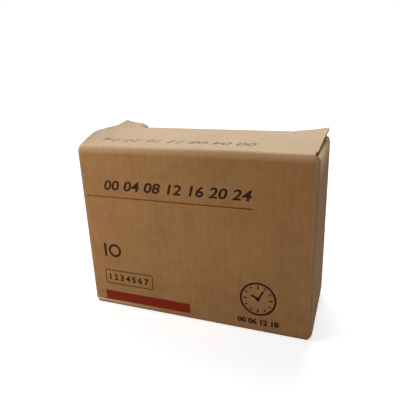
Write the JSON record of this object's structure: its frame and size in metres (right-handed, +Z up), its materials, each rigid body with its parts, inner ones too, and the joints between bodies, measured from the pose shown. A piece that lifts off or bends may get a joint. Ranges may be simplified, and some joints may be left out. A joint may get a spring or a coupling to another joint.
{
  "type": "digital timer switch",
  "caption": "Packed rail-mounting digital timer switch: closed kraft tuck-end carton with flaps on folds, holding the timer and its folded leaflet.",
  "frame": {"origin": "middle of the closed carton's base, on the surface it stands on", "axes": "+X to the right along the printed front, +Y from the front to the rear wall, +Z up"},
  "size_m": [0.102, 0.042, 0.0825],
  "materials": {
    "kraft_board": "matte",
    "paper": "matte",
    "housing_plastic": "fine grain",
    "dark_plastic": "fine grain",
    "button_plastic": "satin",
    "reset_plastic": "satin",
    "lens": "clear",
    "display": "grey-green",
    "strip_rubber": "matte",
    "mat_rubber": "matte",
    "led": "clear red",
    "circuit_board": "solder mask",
    "chip": "moulded",
    "bright_metal": "tin plated",
    "steel": "zinc plated",
    "copper_alloy": "bare",
    "coil_tape": "wound",
    "relay_plastic": "moulded",
    "film_plastic": "moulded",
    "can": "sleeved",
    "varistor": "dipped"
  },
  "bodies": {
    "carton_with_timer": {"carton_tube": "kraft_board", "instruction_leaflet": "paper", "rear_housing": "housing_plastic", "front_housing": "housing_plastic", "display_lens": "lens", "display_glass": "display", "contact_strips": "strip_rubber", "key_mat": "mat_rubber", "indicator_led": "led", "display_board": "circuit_board", "control_chip": "chip", "quartz_crystal": "bright_metal", "backup_battery": "bright_metal", "battery_clip": "steel", "board_header": "chip", "power_board": "circuit_board", "film_capacitor": "film_plastic", "filter_capacitor": "can", "surge_varistor": "varistor", "relay_cover": "relay_plastic", "relay_base": "dark_plastic", "relay_coil": "coil_tape", "relay_yoke": "steel", "relay_fixed_contact": "copper_alloy", "terminal_plate_1": "copper_alloy", "terminal_plate_2": "copper_alloy", "terminal_plate_3": "copper_alloy", "terminal_plate_4": "copper_alloy", "terminal_plate_5": "copper_alloy"},
    "lid": {"lid_panel": "kraft_board"},
    "lid_tuck": {"tuck_flap": "kraft_board"},
    "left_dust_flap": {"dust_flap_left": "kraft_board"},
    "right_dust_flap": {"dust_flap_right": "kraft_board"},
    "bottom_lid": {"bottom_panel": "kraft_board"},
    "bottom_tuck": {"bottom_tuck_flap": "kraft_board"},
    "bottom_left_dust_flap": {"bottom_dust_flap_left": "kraft_board"},
    "bottom_right_dust_flap": {"bottom_dust_flap_right": "kraft_board"},
    "latch": {"rail_latch": "dark_plastic"},
    "armature": {"relay_armature": "steel", "relay_moving_contact": "copper_alloy"},
    "clock_button_body": {"clock_button": "button_plastic"},
    "program_button_body": {"program_button": "button_plastic"},
    "manual_button_body": {"manual_button": "button_plastic"},
    "day_button_body": {"day_button": "button_plastic"},
    "hour_button_body": {"hour_button": "button_plastic"},
    "minute_button_body": {"minute_button": "button_plastic"},
    "reset_button_body": {"reset_button": "reset_plastic"},
    "screw_1": {"terminal_screw_1": "steel"},
    "cage_1": {"terminal_cage_1": "steel"},
    "screw_2": {"terminal_screw_2": "steel"},
    "cage_2": {"terminal_cage_2": "steel"},
    "screw_3": {"terminal_screw_3": "steel"},
    "cage_3": {"terminal_cage_3": "steel"},
    "screw_4": {"terminal_screw_4": "steel"},
    "cage_4": {"terminal_cage_4": "steel"},
    "screw_5": {"terminal_screw_5": "steel"},
    "cage_5": {"terminal_cage_5": "steel"}
  },
  "joints": [
    {"name": "lid_hinge", "type": "hinge", "parent": "carton_with_timer", "child": "lid", "pos_m": [0, -0.02041, 0.07641], "axis": [1, 0, 0], "range_deg": [0, 170]},
    {"name": "tuck_fold", "type": "hinge", "parent": "lid", "child": "lid_tuck", "pos_m": [0, 0.01857, 0.07825], "axis": [1, 0, 0], "range_deg": [0, 59.5]},
    {"name": "left_dust_fold", "type": "hinge", "parent": "carton_with_timer", "child": "left_dust_flap", "pos_m": [-0.05041, 0, 0.07511], "axis": [0, -1, 0], "range_deg": [0, 85]},
    {"name": "right_dust_fold", "type": "hinge", "parent": "carton_with_timer", "child": "right_dust_flap", "pos_m": [0.05041, 0, 0.07511], "axis": [0, 1, 0], "range_deg": [0, 85]},
    {"name": "bottom_lid_hinge", "type": "hinge", "parent": "carton_with_timer", "child": "bottom_lid", "pos_m": [0, -0.02041, 0.00059], "axis": [-1, 0, 0], "range_deg": [0, 170]},
    {"name": "bottom_tuck_fold", "type": "hinge", "parent": "bottom_lid", "child": "bottom_tuck", "pos_m": [0, 0.01861, 0.00059], "axis": [-1, 0, 0], "range_deg": [0, 59.5]},
    {"name": "bottom_left_dust_fold", "type": "hinge", "parent": "carton_with_timer", "child": "bottom_left_dust_flap", "pos_m": [-0.05041, 0, 0.00189], "axis": [0, 1, 0], "range_deg": [0, 85]},
    {"name": "bottom_right_dust_fold", "type": "hinge", "parent": "carton_with_timer", "child": "bottom_right_dust_flap", "pos_m": [0.05041, 0, 0.00189], "axis": [0, -1, 0], "range_deg": [0, 85]},
    {"name": "clock_button_press", "type": "slide", "parent": "carton_with_timer", "child": "clock_button_body", "axis": [0, 0, -1], "range_m": [0, 0.0007], "stiffness_N_per_m": 1000, "springref_m": -0.0004},
    {"name": "program_button_press", "type": "slide", "parent": "carton_with_timer", "child": "program_button_body", "axis": [0, 0, -1], "range_m": [0, 0.0007], "stiffness_N_per_m": 1000, "springref_m": -0.0004},
    {"name": "manual_button_press", "type": "slide", "parent": "carton_with_timer", "child": "manual_button_body", "axis": [0, 0, -1], "range_m": [0, 0.0007], "stiffness_N_per_m": 1000, "springref_m": -0.0004},
    {"name": "day_button_press", "type": "slide", "parent": "carton_with_timer", "child": "day_button_body", "axis": [0, 0, -1], "range_m": [0, 0.0007], "stiffness_N_per_m": 1000, "springref_m": -0.0004},
    {"name": "hour_button_press", "type": "slide", "parent": "carton_with_timer", "child": "hour_button_body", "axis": [0, 0, -1], "range_m": [0, 0.0007], "stiffness_N_per_m": 1000, "springref_m": -0.0004},
    {"name": "minute_button_press", "type": "slide", "parent": "carton_with_timer", "child": "minute_button_body", "axis": [0, 0, -1], "range_m": [0, 0.0007], "stiffness_N_per_m": 1000, "springref_m": -0.0004},
    {"name": "reset_button_press", "type": "slide", "parent": "carton_with_timer", "child": "reset_button_body", "axis": [0, 0, -1], "range_m": [0, 0.0007], "stiffness_N_per_m": 1000, "springref_m": -0.0004},
    {"name": "latch_pull", "type": "slide", "parent": "carton_with_timer", "child": "latch", "axis": [-1, 0, 0], "range_m": [0, 0.003], "stiffness_N_per_m": 3000, "springref_m": -0.001},
    {"name": "armature_tip", "type": "hinge", "parent": "carton_with_timer", "child": "armature", "pos_m": [0.0162, 0.00525, 0.0296], "axis": [0, 1, 0], "range_deg": [0, 5], "stiffness_Nm_per_rad": 0.02, "springref_deg": -5.73},
    {"name": "screw_1_turn", "type": "hinge", "parent": "carton_with_timer", "child": "screw_1", "pos_m": [0.0355, -0.012, 0.045], "axis": [0, 0, -1], "range_deg": [0, 1800]},
    {"name": "cage_1_lift", "type": "slide", "parent": "carton_with_timer", "child": "cage_1", "axis": [0, 0, 1], "range_m": [0, 0.0035]},
    {"name": "screw_2_turn", "type": "hinge", "parent": "carton_with_timer", "child": "screw_2", "pos_m": [0.0355, -0.002, 0.045], "axis": [0, 0, -1], "range_deg": [0, 1800]},
    {"name": "cage_2_lift", "type": "slide", "parent": "carton_with_timer", "child": "cage_2", "axis": [0, 0, 1], "range_m": [0, 0.0035]},
    {"name": "screw_3_turn", "type": "hinge", "parent": "carton_with_timer", "child": "screw_3", "pos_m": [0.0355, 0.008, 0.045], "axis": [0, 0, -1], "range_deg": [0, 1800]},
    {"name": "cage_3_lift", "type": "slide", "parent": "carton_with_timer", "child": "cage_3", "axis": [0, 0, 1], "range_m": [0, 0.0035]},
    {"name": "screw_4_turn", "type": "hinge", "parent": "carton_with_timer", "child": "screw_4", "pos_m": [-0.0355, -0.009, 0.045], "axis": [0, 0, -1], "range_deg": [0, 1800]},
    {"name": "cage_4_lift", "type": "slide", "parent": "carton_with_timer", "child": "cage_4", "axis": [0, 0, 1], "range_m": [0, 0.0035]},
    {"name": "screw_5_turn", "type": "hinge", "parent": "carton_with_timer", "child": "screw_5", "pos_m": [-0.0355, 0.005, 0.045], "axis": [0, 0, -1], "range_deg": [0, 1800]},
    {"name": "cage_5_lift", "type": "slide", "parent": "carton_with_timer", "child": "cage_5", "axis": [0, 0, 1], "range_m": [0, 0.0035]}
  ],
  "couplings": [
    {"joint": "tuck_fold", "follows": "lid_hinge", "ratio": 0.35},
    {"joint": "left_dust_fold", "follows": "lid_hinge", "ratio": 0.5},
    {"joint": "right_dust_fold", "follows": "lid_hinge", "ratio": 0.5},
    {"joint": "bottom_tuck_fold", "follows": "bottom_lid_hinge", "ratio": 0.35},
    {"joint": "bottom_left_dust_fold", "follows": "bottom_lid_hinge", "ratio": 0.5},
    {"joint": "bottom_right_dust_fold", "follows": "bottom_lid_hinge", "ratio": 0.5},
    {"joint": "screw_1_turn", "follows": "cage_1_lift", "rad_per_m": 8975.9},
    {"joint": "screw_2_turn", "follows": "cage_2_lift", "rad_per_m": 8975.9},
    {"joint": "screw_3_turn", "follows": "cage_3_lift", "rad_per_m": 8975.9},
    {"joint": "screw_4_turn", "follows": "cage_4_lift", "rad_per_m": 8975.9},
    {"joint": "screw_5_turn", "follows": "cage_5_lift", "rad_per_m": 8975.9}
  ]
}
